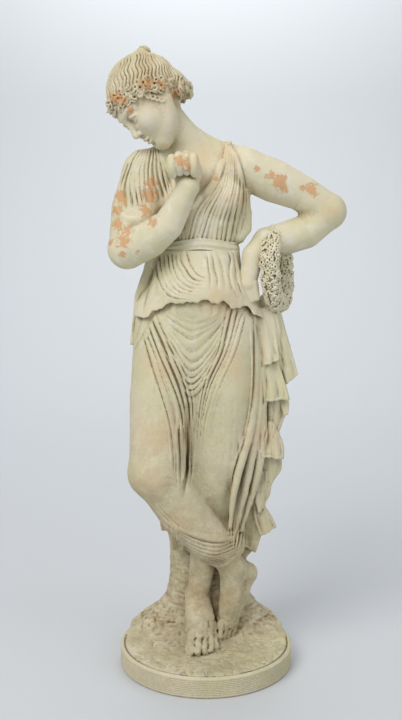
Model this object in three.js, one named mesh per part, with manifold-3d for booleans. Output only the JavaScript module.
// Terracotta statue of a draped woman who leans on a stump, one hand at her chin and a
// wreath over the other arm. Figure, wreath, stump and round plinth are fired as one piece.
// Millimetres, +Z up. The origin is the middle of the plinth's underside, and she faces -Y.
import * as THREE from 'three';
import { edgeTable, triTable } from 'three/addons/objects/MarchingCubes.js';
import { mergeVertices } from 'three/addons/utils/BufferGeometryUtils.js';
import Module from 'manifold-3d';

// Driving dimensions.
const figureHeight = 676; // ground to the top of the hair knot
const plinthRadius = 100;
const plinthHeight = 24;
const plinthBevel = 2; // worn upper and lower edges
const rimWidth = 5; // flat rim left around the modelled ground
const rimGroove = 1.2; // depth of the line cut inside the rim
const groundSink = 4; // how far the modelled ground is keyed into the plinth
const surfaceTriangles = 9200;

// Places and sizes on the figure are in parts, of which her height has 676.
const part = figureHeight / 676;
const groundRadius = (plinthRadius - rimWidth) / part;
const cell = 3; // grid of the clay, in parts

const at = (x, y, z) => new THREE.Vector3(x, y, z);
const mix = (a, b, t) => a + (b - a) * t;
const steps = (n) => Array.from({ length: n }, (_, i) => (n === 1 ? 0.5 : i / (n - 1)));
const softMin = (a, b, k) => {
  const h = Math.max(k - Math.abs(a - b), 0) / k;
  return Math.min(a, b) - (h * h * k) / 4;
};

// A block of modelling clay: at each grid point, how far the point lies outside the surface.
class Clay {
  constructor(low, high) {
    this.low = low;
    this.nx = Math.ceil((high.x - low.x) / cell) + 1;
    this.ny = Math.ceil((high.y - low.y) / cell) + 1;
    this.nz = Math.ceil((high.z - low.z) / cell) + 1;
    this.field = new Float32Array(this.nx * this.ny * this.nz).fill(50);
  }

  // Hands over each grid point of a box, with its index.
  over(box, visit) {
    const first = (v, low) => Math.max(0, Math.floor((v - low) / cell));
    const last = (v, low, n) => Math.min(n - 1, Math.ceil((v - low) / cell));
    const { low, nx, ny, nz } = this;
    for (let k = first(box.min.z, low.z); k <= last(box.max.z, low.z, nz); k++) {
      for (let j = first(box.min.y, low.y); j <= last(box.max.y, low.y, ny); j++) {
        for (let i = first(box.min.x, low.x); i <= last(box.max.x, low.x, nx); i++) {
          visit(low.x + i * cell, low.y + j * cell, low.z + k * cell, (k * ny + j) * nx + i);
        }
      }
    }
  }

  // Presses a shape on, its edge blended over the width soft.
  add(shape, soft = 3) {
    const box = shape.box.clone().expandByScalar(soft + 3 * cell);
    this.over(box, (x, y, z, n) => {
      this.field[n] = softMin(this.field[n], shape.distance(x, y, z), soft);
    });
  }

  // Cuts a shape away.
  cut(shape, soft = 1) {
    const box = shape.box.clone().expandByScalar(soft + 3 * cell);
    this.over(box, (x, y, z, n) => {
      this.field[n] = -softMin(-this.field[n], shape.distance(x, y, z), soft);
    });
  }

  // Lays a sheet of cloth over what is there, wherever inside(x, y, z) is below nought.
  layer(thickness, box, inside, soft = 2) {
    this.over(box, (x, y, z, n) => {
      const sheet = -softMin(thickness - this.field[n], -inside(x, y, z), soft);
      this.field[n] = Math.min(this.field[n], sheet);
    });
  }

  // Cuts everything off flat below a height.
  level(height) {
    const all = new THREE.Box3(this.low, at(Infinity, Infinity, Infinity));
    this.over(all, (x, y, z, n) => {
      this.field[n] = Math.max(this.field[n], height - z);
    });
  }

  value(p) {
    const fx = (p.x - this.low.x) / cell;
    const fy = (p.y - this.low.y) / cell;
    const fz = (p.z - this.low.z) / cell;
    const i = Math.min(Math.max(Math.floor(fx), 0), this.nx - 2);
    const j = Math.min(Math.max(Math.floor(fy), 0), this.ny - 2);
    const k = Math.min(Math.max(Math.floor(fz), 0), this.nz - 2);
    const n = (k * this.ny + j) * this.nx + i;
    const f = this.field;
    const sx = this.nx;
    const sz = this.nx * this.ny;
    const row = (m) => mix(f[m], f[m + 1], fx - i);
    return mix(mix(row(n), row(n + sx), fy - j), mix(row(n + sz), row(n + sz + sx), fy - j), fz - k);
  }

  normal(p) {
    const slope = (dx, dy, dz) =>
      this.value(at(p.x + dx, p.y + dy, p.z + dz)) - this.value(at(p.x - dx, p.y - dy, p.z - dz));
    return at(slope(cell, 0, 0), slope(0, cell, 0), slope(0, 0, cell)).normalize();
  }

  // The first point of the surface on the way from one point to another, or null.
  meet(from, to) {
    const way = to.clone().sub(from);
    const stride = (0.4 * cell) / way.length();
    let before = this.value(from);
    for (let t = stride; t <= 1; t += stride) {
      const here = this.value(from.clone().addScaledVector(way, t));
      if (here < 0) {
        return from.clone().addScaledVector(way, t - stride * (here / (here - before)));
      }
      before = here;
    }
    return null;
  }

  // A smooth line through points given as (x, z), laid on the figure's front.
  onFront(points, samples = 14) {
    const curve = new THREE.CatmullRomCurve3(points.map(([x, z]) => at(x, 0, z)), false, 'centripetal');
    return curve.getSpacedPoints(samples).map((p) => this.meet(at(p.x, -90, p.z), at(p.x, 60, p.z)));
  }

  // A line through points given as (turn from the front in degrees, z), laid round the body.
  onBody(points, middle, samples = 14) {
    const curve = new THREE.CatmullRomCurve3(points.map(([a, z]) => at(a, 0, z)), false, 'centripetal');
    return curve.getSpacedPoints(samples).map((p) => {
      const turn = THREE.MathUtils.degToRad(p.x);
      const axis = middle(p.z);
      return this.meet(at(axis.x + 110 * Math.sin(turn), axis.y - 110 * Math.cos(turn), p.z), axis);
    });
  }

  // The beads of a strip of clay laid along a line on the surface, raised or cut in.
  strip(line, width, height, side) {
    const radius = (width * width / 4 + height * height) / (2 * height);
    const kept = line.filter(Boolean);
    const beads = kept.map((p, i) => {
      const share = Math.min(1, 2.4 * Math.sin((Math.PI * (i + 0.3)) / (kept.length - 0.4)));
      return p.clone().addScaledVector(this.normal(p), side * (height * share - radius));
    });
    return beads.length > 1 ? limb(beads, beads.map(() => radius)) : null;
  }

  // Each line starts from the same surface, so that folds which meet don't pile up.
  folds(lines, width, height, soft = 2) {
    const strips = lines.map((line) => this.strip(line, width, height, 1));
    for (const shape of strips) if (shape) this.add(shape, soft);
  }

  groove(line, width, depth, soft = 1) {
    const shape = this.strip(line, width, depth, -1);
    if (shape) this.cut(shape, soft);
  }

  // The surface as a mesh, by marching cubes.
  surface() {
    const { field, nx, ny, nz, low } = this;
    const clear = 0.04 * cell; // keeps each corner off its neighbours
    for (let n = 0; n < field.length; n++) {
      if (Math.abs(field[n]) < clear) field[n] = field[n] < 0 ? -clear : clear;
    }
    const corners = [[0, 0, 0], [1, 0, 0], [1, 1, 0], [0, 1, 0], [0, 0, 1], [1, 0, 1], [1, 1, 1], [0, 1, 1]];
    const edges = [[0, 1], [1, 2], [3, 2], [0, 3], [4, 5], [5, 6], [7, 6], [4, 7], [0, 4], [1, 5], [2, 6], [3, 7]];
    const offset = corners.map(([i, j, k]) => (k * ny + j) * nx + i);
    const known = new Map();
    const places = [];
    const faces = [];
    for (let k = 0; k < nz - 1; k++) {
      for (let j = 0; j < ny - 1; j++) {
        for (let i = 0; i < nx - 1; i++) {
          const n = (k * ny + j) * nx + i;
          let kind = 0;
          for (let c = 0; c < 8; c++) if (field[n + offset[c]] > 0) kind |= 1 << c;
          if (edgeTable[kind] === 0) continue;
          for (let t = 16 * kind; triTable[t] !== -1; t++) {
            const [a, b] = edges[triTable[t]];
            const axis = corners[b].findIndex((v, m) => v !== corners[a][m]);
            const key = 3 * (n + offset[a]) + axis;
            if (!known.has(key)) {
              const va = field[n + offset[a]];
              const share = va / (va - field[n + offset[b]]);
              const place = [i, j, k].map((v, m) => v + corners[a][m] + (m === axis ? share : 0));
              known.set(key, places.length);
              places.push(at(low.x + place[0] * cell, low.y + place[1] * cell, low.z + place[2] * cell));
            }
            faces.push(known.get(key));
          }
        }
      }
    }
    return { places, faces };
  }
}

// Shapes: a box that holds the shape, and the distance to it.
function egg(centre, radii, axes = [at(1, 0, 0), at(0, 1, 0), at(0, 0, 1)]) {
  const reach = Math.max(...radii);
  const box = new THREE.Box3().setFromCenterAndSize(centre, at(2 * reach, 2 * reach, 2 * reach));
  const inverse = radii.map((r) => 1 / r);
  return {
    box,
    distance(x, y, z) {
      const dx = x - centre.x;
      const dy = y - centre.y;
      const dz = z - centre.z;
      let near = 0;
      let steep = 0;
      for (let m = 0; m < 3; m++) {
        const along = (dx * axes[m].x + dy * axes[m].y + dz * axes[m].z) * inverse[m];
        near += along * along;
        steep += along * along * inverse[m] * inverse[m];
      }
      near = Math.sqrt(near);
      return (near * (near - 1)) / Math.max(Math.sqrt(steep), 1e-6);
    },
  };
}

const ball = (centre, radius) => egg(centre, [radius, radius, radius]);

// A chain of round cones through points. It may be flattened along one direction.
function limb(points, radii, flat = null) {
  const reach = Math.max(...radii);
  const box = new THREE.Box3().setFromPoints(points).expandByScalar(reach);
  const squash = flat ? 1 / flat.by - 1 : 0;
  const n = flat ? flat.along.clone().normalize() : at(0, 0, 0);
  const drawn = points.map((p) => p.clone().addScaledVector(n, p.dot(n) * squash));
  const links = drawn.slice(1).map((b, i) => {
    const a = drawn[i];
    const d = b.clone().sub(a);
    return { a, d, back: 1 / Math.max(d.lengthSq(), 1e-9), ra: radii[i], grow: radii[i + 1] - radii[i] };
  });
  const scale = flat ? Math.sqrt(flat.by) : 1;
  return {
    box,
    distance(px, py, pz) {
      const along = (px * n.x + py * n.y + pz * n.z) * squash;
      const x = px + n.x * along;
      const y = py + n.y * along;
      const z = pz + n.z * along;
      let best = Infinity;
      for (const { a, d, back, ra, grow } of links) {
        const qx = x - a.x;
        const qy = y - a.y;
        const qz = z - a.z;
        const t = Math.min(1, Math.max(0, (qx * d.x + qy * d.y + qz * d.z) * back));
        const away = Math.hypot(qx - t * d.x, qy - t * d.y, qz - t * d.z) - (ra + grow * t);
        if (away < best) best = away;
      }
      return best * scale;
    },
  };
}

// A piece of cloth that hangs flat: corners given as (x, z), its depth and thickness, and how
// far its foot comes forward.
function panel(corners, depth, thickness, lean) {
  const points = corners.map(([x, z]) => at(x, depth, z));
  const box = new THREE.Box3().setFromPoints(points).expandByVector(at(1, thickness + lean, 1));
  const { min: { z: foot }, max: { z: top } } = box;
  return {
    box,
    distance(x, y, z) {
      let near = Infinity;
      let side = 1;
      corners.forEach(([ax, az], i) => {
        const [bx, bz] = corners[(i + 1) % corners.length];
        const [ex, ez, wx, wz] = [bx - ax, bz - az, x - ax, z - az];
        const t = Math.min(1, Math.max(0, (wx * ex + wz * ez) / (ex * ex + ez * ez)));
        near = Math.min(near, Math.hypot(wx - ex * t, wz - ez * t));
        const above = z >= az;
        if (above !== (z >= bz) && (ex * wz - ez * wx > 0) === (bz > az)) side = -side;
      });
      const shift = lean * Math.min(1, Math.max(0, (top - z) / (top - foot)));
      return Math.max(side * near, Math.abs(y - depth + shift) - thickness / 2);
    },
  };
}

// The part of a shape where keep(x, y, z) is below nought.
const trim = (shape, keep) => ({
  box: shape.box,
  distance: (x, y, z) => Math.max(shape.distance(x, y, z), keep(x, y, z)),
});

// A curve's height at x, through a few points given as (x, height).
function profile(points) {
  return (x) => {
    const i = points.findIndex(([px]) => px > x);
    if (i === 0) return points[0][1];
    if (i < 0) return points.at(-1)[1];
    const [[xa, ha], [xb, hb]] = [points[i - 1], points[i]];
    const t = (x - xa) / (xb - xa);
    return mix(ha, hb, t * t * (3 - 2 * t));
  };
}

// The joints of the pose.
const joint = {
  pelvis: at(-8, 2, 385), waist: at(-6, 0, 461), chest: at(-4, -1, 512),
  neckLow: at(-6, 4, 556), neckHigh: at(-40, -7, 596), head: at(-64, -17, 616),
  leftShoulder: at(43, 4, 545), leftElbow: at(137, 18, 498), leftWrist: at(66, -5, 466),
  rightShoulder: at(-70, 2, 541), rightElbow: at(-86, -24, 457), rightWrist: at(-19, -48, 523),
  leftHip: at(24, 4, 372), leftKnee: at(17, -6, 222), leftAnkle: at(-10, 7, 50),
  rightHip: at(-42, -2, 372), rightKnee: at(-58, -42, 212), rightAnkle: at(31, -6, 90),
};

// The block of clay holds the figure, from hip to hip and elbow to elbow, and the whole ground.
const clearance = 2 * cell;
const figureBox = new THREE.Box3(at(-115, -75, -clearance), at(162, 65, 686));
const groundBox = new THREE.Box3(at(-groundRadius, -groundRadius, -groundSink / part), at(groundRadius, groundRadius, 0));
const block = figureBox.union(groundBox).expandByScalar(clearance);
const clay = new Clay(block.min, block.max);
const flatInY = (by) => ({ along: at(0, 1, 0), by });

// Middle of the body at a height, for lines laid round it.
const middle = (z) => at(mix(-2, -7, z / 450), mix(16, 0, z / 450), z);

const stump = at(2, 44, 0);
const stumpRadius = 43;
const stumpDepth = 0.75; // its depth as a share of its width

function groundAndStump() {
  const inDisc = (x, y) => Math.hypot(x, y) - groundRadius;
  const ground = {
    box: new THREE.Box3(at(-groundRadius, -groundRadius, -12), at(groundRadius, groundRadius, 12)),
    distance: (x, y, z) => {
      const lift = 1.4 + 1.1 * Math.sin(0.06 * x + 1) * Math.cos(0.07 * y);
      return Math.max(inDisc(x, y), z - lift);
    },
  };
  clay.add(ground, 0.1);
  // The stump spreads into the ground, mostly to its sides.
  const trunk = {
    box: new THREE.Box3(at(-groundRadius, -groundRadius, -12), at(groundRadius, groundRadius, 170)),
    distance: (x, y, z) => {
      const away = Math.hypot(x - stump.x, (y - stump.y) / stumpDepth);
      const sideways = ((x - stump.x) / Math.max(away, 1)) ** 2;
      const spread = 75 * Math.exp(-Math.max(z, 0) / 20) * mix(0.2, 1, sideways);
      const bark = 0.8 * Math.sin(0.42 * z + 0.04 * x) + 1.5 * Math.sin(0.07 * x + 0.05 * z);
      return Math.max(0.8 * (away - stumpRadius - spread - bark), z - 165, inDisc(x, y));
    },
  };
  clay.add(trunk, 3);
}

function body() {
  const { pelvis, waist, chest, neckLow, neckHigh, leftShoulder, rightShoulder } = joint;
  clay.add(egg(pelvis, [57, 40, 46]), 8);
  clay.add(egg(at(-10, -14, 405), [42, 30, 36]), 14);
  clay.add(limb([at(-8, 1, 400), waist, at(-5, -1, 488)], [42, 36, 40], flatInY(0.8)), 16);
  clay.add(egg(chest, [46, 33, 44]), 14);
  clay.add(limb([rightShoulder, at(-14, 2, 545), leftShoulder], [20, 24, 20]), 14);
  clay.add(limb([neckLow, neckHigh], [19, 17]), 12);
  clay.add(limb([at(-10, 8, 572), at(30, 5, 556)], [10, 12]), 14);
  clay.add(limb([at(-12, 8, 566), at(-62, 4, 545)], [12, 14]), 14);
  clay.add(egg(at(19, -25, 513), [18, 17, 18]), 8);
  clay.add(egg(at(-28, -25, 508), [18, 17, 18]), 8);
  // The blouse hangs full at her left side, over the belt.
  clay.add(limb([at(38, 0, 530), at(36, 0, 505), at(33, 0, 478)], [10, 13, 14]), 6);
}

function legs() {
  const { leftHip, leftKnee, leftAnkle, rightHip, rightKnee, rightAnkle } = joint;
  clay.add(limb([leftHip, at(22, -3, 300), leftKnee, at(5, 4, 150), leftAnkle], [36, 34, 26, 20, 12]), 8);
  clay.add(limb([rightHip, at(-50, -22, 292), rightKnee], [38, 35, 27]), 8);
  clay.add(limb([rightKnee, at(-24, -30, 168), at(8, -18, 125), rightAnkle], [27, 25, 18, 14]), 8);
}

function feet() {
  const { leftAnkle, rightAnkle } = joint;
  // The standing foot.
  clay.add(limb([leftAnkle, at(-10, 28, 13)], [12, 12]), 5);
  clay.add(limb([leftAnkle, at(-10, -3, 30), at(-9, -16, 14)], [12.5, 12, 9]), 5);
  clay.add(egg(at(-5, -8, 10), [20, 22, 11]), 5);
  clay.add(limb([at(-11, 28, 10), at(-5, -6, 8)], [11, 12]), 5);
  for (const t of steps(5)) {
    const root = at(mix(-18, 12, t), mix(-18, -4, t), mix(10, 8, t));
    const tip = at(mix(-20, 13, t), -46 + 24 * t * t, mix(5, 4, t));
    const radius = t === 0 ? 6.2 : mix(5, 4, t);
    clay.add(limb([root, root.clone().lerp(tip, 0.55).add(at(0, 0, 1)), tip], [radius, radius, 0.92 * radius]), 1);
  }
  // The crossing foot stands on its toes.
  clay.add(limb([rightAnkle, at(48, 7, 79)], [14, 11]), 6);
  clay.add(limb([rightAnkle, at(29, -6, 56), at(25, 0, 24)], [14, 13, 11]), 6);
  clay.add(limb([at(48, 7, 79), at(40, 6, 50), at(27, 4, 24)], [10, 9, 9]), 8);
  for (const t of steps(4)) {
    const root = at(mix(18, 34, t), mix(-6, 6, t), 22);
    clay.add(limb([root, root.clone().add(at(-3, -3, -18))], [5.2, 4]), 1);
  }
}

// The wide hem of the skirt behind, lowest at her left.
const backHem = (x, y) => 104 - 0.12 * x + 3 * Math.sin(0.16 * x + 0.1 * y);

function skirt() {
  clay.add(limb([at(-12, -2, 350), at(-14, -8, 270), at(-6, 0, 190)], [36, 27, 25]), 16);
  const fall = limb([at(-4, 18, 380), at(-2, 30, 260), at(0, 36, 90)], [44, 43, 41], flatInY(0.8));
  clay.add(trim(fall, (x, y, z) => backHem(x, y) - z), 2);
  // Cloth wrapped round the crossing shin, down to its hem.
  clay.add(limb([at(-52, -34, 205), at(-26, -34, 160), at(4, -26, 130), at(28, -12, 120)], [26, 24, 23, 16]), 6);
  clay.add(limb([at(-38, -8, 168), at(-6, -6, 138), at(26, 0, 120)], [18, 22, 18]), 8);
}

function bodiceFolds() {
  clay.folds(steps(6).map((t) =>
    clay.onFront([[22 + 6 * t, 566], [mix(16, 43, t), 520], [mix(-2, 36, t), 470]])), 6.5, 3);
  clay.folds(steps(3).map((t) =>
    clay.onFront([[mix(-44, -30, t), 545], [mix(-42, -24, t), 508], [mix(-32, -12, t), 470]])), 6, 2.6);
  clay.folds(steps(7).map((t) => {
    const turn = mix(110, 250, t);
    return clay.onBody([[turn, 545], [turn, 505], [mix(125, 235, t), 468]], middle);
  }), 8, 2.6);
}

const beltHeight = (x, y) => 457 + (y < 0 ? 6 : 2) * Math.exp(-((x + 6) ** 2) / 900);

function belt() {
  const band = {
    box: new THREE.Box3(at(-60, -42, 440), at(50, 42, 480)),
    distance: (x, y, z) => Math.max(Math.hypot(x + 6, (y - 1) / 0.82) - 42.5, Math.abs(z - beltHeight(x, y)) - 6),
  };
  clay.add(band, 1);
}

// The hem of the blouse where it falls over the belt.
const foldHem = profile([[-66, 384], [-56, 391], [-39, 400], [-14, 401], [-2, 404], [8, 400], [19, 402], [27, 394],
  [44, 395], [54, 386], [64, 380]]);

// The blouse falls over the belt: a second layer of cloth with a wavy lower edge.
function overfold() {
  clay.layer(7, new THREE.Box3(at(-80, -70, 370), at(80, 70, 460)), (x, y, z) => {
    const edge = y < 0 ? foldHem(x) : 392 + 3 * Math.sin(0.2 * x);
    return Math.max(edge - z, z - 454);
  });
  clay.folds(steps(4).map((t) => clay.onFront([[mix(-46, -24, t), 448],
    [mix(-44, -14, t), mix(420, 432, t)], [mix(-30, 2, t), mix(404, 418, t)]])), 6, 2.6);
  clay.folds(steps(4).map((t) =>
    clay.onFront([[mix(2, 34, t), 450], [mix(3, 42, t), 426], [mix(0, 52, t), mix(406, 396, t)]])), 7, 2.8);
  clay.folds(steps(8).map((t) => {
    const turn = mix(100, 262, t);
    return clay.onBody([[turn, 446], [turn, 420], [turn, 396]], middle);
  }), 8, 2.6);
}

function skirtFolds() {
  // Swags across the belly.
  clay.folds(steps(5).map((t) => {
    const low = mix(376, 318, t);
    return clay.onFront([[mix(-44, -54, t), mix(390, 368, t)], [mix(-33, -38, t), low + 8],
      [-14, low], [mix(8, 12, t), low + 8], [mix(18, 24, t), mix(394, 374, t)]]);
  }), 6, 2.4);
  // Folds that run from the hips to the hollow between the thighs.
  clay.folds(steps(4).map((t) => clay.onFront([[mix(-54, -66, t), mix(386, 366, t)],
    [mix(-36, -52, t), mix(338, 318, t)], [mix(-16, -34, t), mix(302, 268, t)],
    [mix(-16, -36, t), mix(252, 222, t)]])), 8, 3.6, 3);
  clay.folds(steps(3).map((t) => clay.onFront([[mix(24, 38, t), mix(392, 386, t)],
    [mix(18, 28, t), mix(352, 344, t)], [mix(-2, 10, t), mix(312, 306, t)],
    [mix(-10, -4, t), mix(262, 268, t)], [mix(-6, 2, t), 215]])), 7, 3.4, 3);
  clay.groove(clay.onFront([[-21, 264], [-21, 236], [-23, 204]]), 8, 6);
  // Long folds down the outside of her left leg.
  clay.folds(steps(3).map((t) => clay.onFront([[mix(49, 62, t), 384], [mix(52, 62, t), 314],
    [mix(46, 61, t), mix(256, 250, t)], [mix(30, 55, t), mix(200, 186, t)],
    [mix(34, 44, t), mix(158, 150, t)], [37, 126]])), 8, 6);
  clay.groove(clay.onFront([[47, 240], [40, 214], [37, 178]]), 7, 6);
  // The wrap of the shin, and its folded hem.
  clay.folds(steps(4).map((t) => clay.onFront([[mix(-50, -36, t), mix(170, 140, t)],
    [mix(-14, -8, t), mix(142, 110, t)], [mix(14, 12, t), mix(135, 104, t)],
    [mix(34, 36, t), mix(130, 116, t)]])), 7, 3.2);
  // Down the back and round both sides.
  clay.folds(steps(11).map((t) => {
    const turn = mix(98, 258, t);
    return clay.onBody([[turn, 388], [turn + 5 * Math.sin(9 * t), 250], [turn, 112]], middle);
  }), 13, 5.5);
}

// Outer edge of the open side of the dress, at a height.
const sideEdge = profile([[90, 44], [110, 56], [134, 62], [166, 62], [214, 74], [269, 80], [313, 86], [350, 78], [392, 66]]);
const clothThickness = 6.5;

// The hanging ends of cloth: corners as (x, z), and the depth.
const hangingEnds = [
  [[[76, 374], [88, 367], [96, 343], [103, 314], [93, 306], [82, 328]], 5],
  [[[62, 360], [78, 358], [81, 332], [67, 330], [62, 338]], -11],
  [[[66, 306], [91, 302], [93, 280], [90, 268], [84, 254], [87, 236], [64, 236]], 4],
  [[[66, 334], [82, 330], [88, 312], [91, 292], [67, 290], [63, 300]], -9],
  [[[66, 238], [88, 232], [88, 216], [82, 198], [71, 182], [62, 190]], 4],
  [[[66, 268], [81, 262], [86, 242], [87, 222], [78, 220], [66, 225], [61, 238]], -7],
  [[[38, 184], [64, 180], [65, 124], [59, 106], [53, 102], [38, 116]], 8],
  [[[52, 204], [74, 202], [72, 184], [64, 157], [54, 173]], -3],
  [[[58, 164], [71, 153], [78, 137], [65, 131], [57, 146]], -5],
  [[[-52, 446], [-63, 442], [-75, 416], [-83, 388], [-85, 350], [-77, 348], [-74, 371], [-62, 373], [-46, 386]], 2],
  [[[-56, 156], [-34, 154], [-34, 128], [-51, 134]], 2],
  [[[-44, 134], [-26, 128], [-27, 108], [-40, 111]], 4],
];

function sideCloth() {
  const sheet = {
    box: new THREE.Box3(at(30, -12, 92), at(110, 40, 396)),
    distance: (x, y, z) => {
      const wave = 12 + 4 * Math.sin(0.24 * x + 0.02 * z);
      return Math.max(Math.abs(y - wave) - 6, 0.8 * (x - sideEdge(z)), z - 392, 94 - z, 30 - x);
    },
  };
  clay.add(sheet, 6);
  for (const [corners, depth] of hangingEnds) clay.add(panel(corners, depth, clothThickness, 4), 2);
  clay.add(limb([at(-56, 4, 448), at(-68, 8, 400)], [10, 12], flatInY(0.6)), 4);
}

function sleeve() {
  const { rightShoulder, rightElbow } = joint;
  clay.add(limb([rightShoulder, at(-82, -8, 500), rightElbow], [22, 22, 20]), 6);
  clay.add(limb([at(-48, 0, 556), at(-64, -14, 520), at(-66, -20, 488)], [12, 20, 18]), 8);
  clay.folds(steps(5).map((t) => clay.onFront([[mix(-74, -52, t), 560],
    [mix(-90, -44, t), 532], [mix(-92, -36, t), mix(496, 510, t)]])), 7, 3);
}

function rightArm() {
  const { rightElbow, rightWrist } = joint;
  clay.add(limb([rightElbow, at(-60, -35, 469), at(-41, -41, 483), rightWrist], [21.5, 20, 17, 12.5]), 2);
  clay.add(limb([rightWrist, at(-24, -49, 548)], [11.5, 12], flatInY(0.9)), 4);
  for (const t of steps(4)) {
    const y = mix(-58, -39, t);
    const knuckle = at(-26, y, mix(556, 553, t));
    clay.add(limb([knuckle, at(-13, y, 556), at(-10, y + 1, 543), at(-13, y + 3, 528)], [6.2, 5.4, 5, 4.2]), 1);
  }
}

function leftArm() {
  const { leftShoulder, leftElbow, leftWrist } = joint;
  clay.add(limb([leftShoulder, at(76, 9, 531), at(105, 14, 519), leftElbow], [22, 23.5, 20, 19.5]), 5);
  clay.add(limb([leftElbow, at(112, 14, 476), at(94, 8, 470), leftWrist], [19.5, 19, 18.5, 14]), 5);
  clay.add(limb([leftWrist, at(51, -13, 450), at(46, -17, 420)], [13, 12, 9.5]), 4);
  for (const t of steps(3)) {
    clay.add(limb([at(mix(42, 52, t), -20, 420), at(mix(45, 55, t), -18, mix(400, 404, t))], [5, 4]), 1);
  }
}

const wreathMiddle = at(79, 0, 431);
const wreathReach = [27, 35]; // half-widths of the ring, level and upright
const wreathThickness = 11.5;
const wreathBlossoms = 34;

// A point of the wreath: its turn round the ring, and how far it lies outward and to the side.
function onWreath(turn, out, side) {
  const across = at(-0.36, -0.93, 0);
  return wreathMiddle.clone()
    .addScaledVector(across, (wreathReach[0] + out) * Math.cos(turn))
    .addScaledVector(at(0.93, -0.36, 0), side)
    .add(at(0, 0, (wreathReach[1] + out) * Math.sin(turn)));
}

function wreath() {
  const ring = steps(33).map((t) => onWreath(2 * Math.PI * t, 0, 0));
  clay.add(limb(ring, ring.map(() => wreathThickness)), 1);
  for (let i = 0; i < wreathBlossoms; i++) {
    const turn = (2 * Math.PI * i) / wreathBlossoms;
    const lean = 2.4 * i;
    const place = onWreath(turn, 0.72 * wreathThickness * Math.cos(lean), 0.72 * wreathThickness * Math.sin(lean));
    clay.add(ball(place, 6), 1);
  }
}

// The head's own directions: ahead, up, and her left. Its places and sizes are in headUnits.
const headUnit = 1;
const ahead = at(-0.5, -0.35, -0.79).normalize();
const lean = at(-0.76, -0.12, 0.6);
const aloft = lean.addScaledVector(ahead, -lean.dot(ahead)).normalize();
const aside = aloft.clone().cross(ahead);
const onHead = (side, front, up) => joint.head.clone().addScaledVector(aside, side * headUnit)
  .addScaledVector(ahead, front * headUnit).addScaledVector(aloft, up * headUnit);
const headEgg = (side, front, up, radii) =>
  egg(onHead(side, front, up), radii.map((r) => r * headUnit), [aside, ahead, aloft]);
const headBall = (side, front, up, radius) => ball(onHead(side, front, up), radius * headUnit);

function head() {
  clay.add(headEgg(0, -4, 8, [32, 38, 34]), 6);
  clay.add(headEgg(0, 12, -14, [25, 25, 31]), 10);
  clay.add(headBall(0, 28, -37, 8), 8);
  clay.add(limb([onHead(0, 36, 4), onHead(0, 41, -13)], [3.4, 4.6]), 4);
  clay.add(limb([onHead(-7, 34, -24), onHead(7, 34, -24)], [3.6, 3.6]), 3);
  for (const side of [-1, 1]) {
    clay.cut(headBall(13 * side, 40, 3, 8), 4);
    clay.add(headBall(12.5 * side, 29, 2, 5.6), 2);
    clay.add(headBall(15 * side, 22, -12, 11), 8);
  }
}

const curlRows = 2;
const curlsPerRow = 19;

// Below nought where hair may grow: above a plane that climbs from the nape to the brow.
const belowHair = (x, y, z) => {
  const from = at(x, y, z).sub(joint.head).divideScalar(headUnit);
  return 0.83 * headUnit * (0.66 * from.dot(ahead) - from.dot(aloft));
};

function hair() {
  clay.add(trim(headEgg(0, -6, 10, [38, 41, 38]), belowHair), 2);
  // The knot on the crown, and the gathered ends behind it.
  clay.add(limb([onHead(0, -32, 29), onHead(0, -43, 31)], [12, 7]), 4);
  clay.add(limb([onHead(4, -34, -2), onHead(2, -42, -12)], [14, 9]), 6);
  const crown = onHead(0, -36, 38);
  clay.folds(steps(14).slice(1).map((share) => {
    const turn = 2 * Math.PI * share;
    const rim = onHead(46 * Math.sin(turn), -4 + 50 * Math.cos(turn), 2 + 28 * Math.cos(turn));
    return steps(9).map((t) => {
      const over = crown.clone().lerp(rim, t).sub(joint.head).setLength(60);
      return clay.meet(over.add(joint.head), joint.head);
    });
  }), 9, 2);
  // Rows of small curls round the brow, from ear to ear.
  for (let row = 0; row < curlRows; row++) {
    for (const t of steps(curlsPerRow)) {
      const turn = mix(-2.6, 2.6, t) + 0.14 * row;
      const front = 38 * Math.cos(turn) - 2;
      const place = onHead(40 * Math.sin(turn), front, 0.66 * front + 2 + 8 * row);
      const skin = clay.meet(place.sub(joint.head).multiplyScalar(1.8).add(joint.head), joint.head);
      clay.add(ball(skin, 5.8 - row), 1);
    }
  }
  // Locks in front of both ears.
  for (const side of [-1, 1]) {
    for (const t of steps(3)) clay.add(headBall(31 * side, mix(8, 3, t), mix(2, -14, t), 5.5), 1);
  }
}

function neckline() {
  // Bare skin stands back from the cloth, whose border runs round the neck.
  const edge = [[21, 572], [17, 553], [7, 529], [-7, 513], [-18, 503], [-30, 518], [-38, 543], [-50, 560]];
  clay.folds([clay.onFront(edge, 30)], 7, 3);
  clay.add(ball(at(24, -2, 570), 6), 2);
}

groundAndStump();
legs();
body();
skirt();
bodiceFolds();
belt();
overfold();
skirtFolds();
sideCloth();
neckline();
sleeve();
rightArm();
leftArm();
wreath();
head();
hair();
feet();
clay.level(-groundSink);

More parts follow.
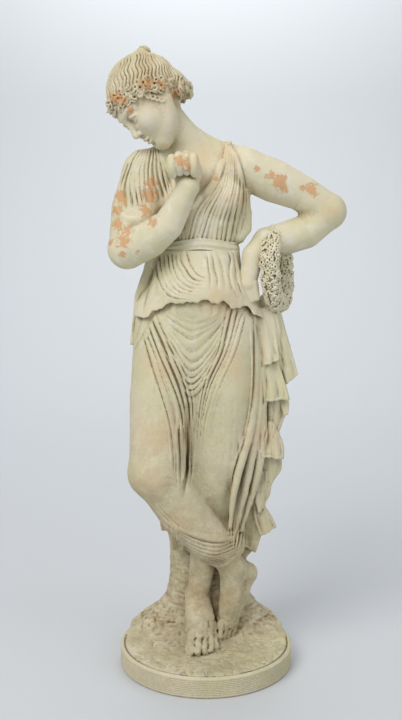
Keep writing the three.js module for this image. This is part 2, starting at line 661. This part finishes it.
// Joins close corners of a mesh, cheapest first, until few enough faces are left.
function thin({ places, faces }, wanted) {
  const points = places.map((p) => p.clone());
  const around = points.map(() => new Set());
  const tri = [];
  const live = [];
  for (let i = 0; i < faces.length; i += 3) {
    tri.push([faces[i], faces[i + 1], faces[i + 2]]);
    live.push(true);
    for (const v of tri.at(-1)) around[v].add(tri.length - 1);
  }
  // Sum of squared distances to the planes round a corner, as ten numbers.
  const error = points.map(() => new Float64Array(10));
  const plane = (t) => {
    const [a, b, c] = tri[t].map((v) => points[v]);
    const normal = b.clone().sub(a).cross(c.clone().sub(a));
    const area = normal.length();
    return { normal: normal.divideScalar(area || 1), area, d: -normal.dot(a) };
  };
  tri.forEach((corners, t) => {
    const { normal: { x, y, z }, area, d } = plane(t);
    const terms = [x * x, x * y, x * z, x * d, y * y, y * z, y * d, z * z, z * d, d * d];
    for (const v of corners) terms.forEach((term, m) => { error[v][m] += term * area; });
  });
  const cost = (q, p) =>
    q[0] * p.x * p.x + 2 * q[1] * p.x * p.y + 2 * q[2] * p.x * p.z + 2 * q[3] * p.x + q[4] * p.y * p.y
    + 2 * q[5] * p.y * p.z + 2 * q[6] * p.y + q[7] * p.z * p.z + 2 * q[8] * p.z + q[9];
  const best = (q, a, b) => {
    const choices = [a, b, a.clone().lerp(b, 0.5)];
    const det = q[0] * (q[4] * q[7] - q[5] * q[5]) - q[1] * (q[1] * q[7] - q[5] * q[2])
      + q[2] * (q[1] * q[5] - q[4] * q[2]);
    if (Math.abs(det) > 1e-3) {
      const x = (-q[3] * (q[4] * q[7] - q[5] * q[5]) + q[1] * (q[6] * q[7] - q[5] * q[8])
        - q[2] * (q[6] * q[5] - q[4] * q[8])) / det;
      const y = (q[0] * (-q[6] * q[7] + q[5] * q[8]) + q[3] * (q[1] * q[7] - q[5] * q[2])
        + q[2] * (-q[1] * q[8] + q[6] * q[2])) / det;
      const z = (q[0] * (-q[4] * q[8] + q[5] * q[6]) - q[1] * (-q[1] * q[8] + q[6] * q[2])
        - q[3] * (q[1] * q[5] - q[4] * q[2])) / det;
      const free = at(x, y, z);
      if (free.distanceTo(choices[2]) < 2 * a.distanceTo(b)) choices.push(free);
    }
    return choices.reduce((m, c) => (cost(q, c) < cost(q, m) ? c : m));
  };
  // A heap of edges by cost.
  const heap = [];
  const swap = (i, j) => { [heap[i], heap[j]] = [heap[j], heap[i]]; };
  const push = (item) => {
    let i = heap.push(item) - 1;
    while (i > 0 && heap[i].cost < heap[(i - 1) >> 1].cost) {
      swap(i, (i - 1) >> 1);
      i = (i - 1) >> 1;
    }
  };
  const pop = () => {
    swap(0, heap.length - 1);
    const top = heap.pop();
    for (let i = 0; ;) {
      const kids = [2 * i + 1, 2 * i + 2].filter((k) => k < heap.length);
      const least = kids.reduce((m, k) => (heap[k].cost < heap[m].cost ? k : m), i);
      if (least === i) return top;
      swap(i, least);
      i = least;
    }
  };
  const stamp = points.map(() => 0);
  const weigh = (a, b) => {
    const q = error[a].map((v, m) => v + error[b][m]);
    const place = best(q, points[a], points[b]);
    const short = 0.002 * points[a].distanceToSquared(points[b]);
    push({ a, b, place, cost: cost(q, place) + short, at: stamp[a] + stamp[b] });
  };
  const neighbours = (v) => {
    const found = new Set();
    for (const t of around[v]) for (const w of tri[t]) if (w !== v) found.add(w);
    return found;
  };
  points.forEach((_, v) => { for (const w of neighbours(v)) if (v < w) weigh(v, w); });
  let left = tri.length;
  while (left > wanted && heap.length) {
    const { a, b, place, at: made } = pop();
    if (!around[a].size || !around[b].size || made !== stamp[a] + stamp[b]) continue;
    const nearB = neighbours(b);
    const shared = [...neighbours(a)].filter((v) => nearB.has(v));
    const joined = [...around[a]].filter((t) => around[b].has(t));
    if (shared.length !== 2 || joined.length !== 2) continue;
    // No face may turn over or fold flat.
    const turns = [[a, b], [b, a]].some(([v, other]) => [...around[v]].some((t) => {
      if (tri[t].includes(other)) return false;
      const before = plane(t).normal;
      const [p, q, r] = tri[t].map((w) => (w === v ? place : points[w]));
      const after = q.clone().sub(p).cross(r.clone().sub(p));
      return after.dot(before) < 0.25 * after.length() || after.length() < 1e-3;
    }));
    if (turns) continue;
    points[a].copy(place);
    error[b].forEach((v, m) => { error[a][m] += v; });
    for (const t of joined) {
      live[t] = false;
      left--;
      for (const v of tri[t]) around[v].delete(t);
    }
    for (const t of around[b]) {
      tri[t] = tri[t].map((v) => (v === b ? a : v));
      around[a].add(t);
    }
    around[b].clear();
    stamp[a] += 1e6;
    stamp[b] = -1;
    for (const v of neighbours(a)) weigh(Math.min(a, v), Math.max(a, v));
  }
  const index = tri.filter((_, t) => live[t]).flat();
  return { points, index };
}

// Keeps the largest closed body of a mesh given as a solid.
const largest = (solid) =>
  solid.decompose().reduce((most, one) => (one.volume() > most.volume() ? one : most));

const wasm = await Module();
wasm.setup();

const solidFrom = (geometry) => new wasm.Manifold(new wasm.Mesh({
  numProp: 3,
  vertProperties: new Float32Array(geometry.attributes.position.array),
  triVerts: new Uint32Array(geometry.index.array),
}));

function figureSolid() {
  const { points, index } = thin(clay.surface(), surfaceTriangles);
  const geometry = new THREE.BufferGeometry().setFromPoints(points).setIndex(index);
  geometry.scale(part, part, part).translate(0, 0, plinthHeight);
  return largest(solidFrom(geometry));
}

function plinthSolid() {
  const grooveRadius = plinthRadius - rimWidth;
  const outline = [
    [0, 0], [plinthRadius - plinthBevel, 0], [plinthRadius, plinthBevel],
    [plinthRadius, plinthHeight - plinthBevel], [plinthRadius - plinthBevel, plinthHeight],
    [grooveRadius + rimGroove, plinthHeight], [grooveRadius, plinthHeight - rimGroove],
    [0, plinthHeight - rimGroove],
  ];
  const lathe = new THREE.LatheGeometry(outline.map(([r, z]) => new THREE.Vector2(r, z)), 48);
  for (const name of ['normal', 'uv']) lathe.deleteAttribute(name);
  return solidFrom(mergeVertices(lathe.rotateX(Math.PI / 2), 1e-4));
}

const fired = largest(figureSolid().add(plinthSolid())).getMesh();
const shape = new THREE.BufferGeometry();
shape.setAttribute('position', new THREE.BufferAttribute(new Float32Array(fired.vertProperties), 3));
shape.setIndex(new THREE.BufferAttribute(new Uint32Array(fired.triVerts), 1));
shape.computeVertexNormals();

const terracotta = new THREE.MeshStandardMaterial({ color: 0xd6c9a8, roughness: 0.85, metalness: 0 });
const statue = new THREE.Mesh(shape, terracotta);
statue.name = 'statue';

const whole = new THREE.Group();
whole.add(statue);

export default whole;
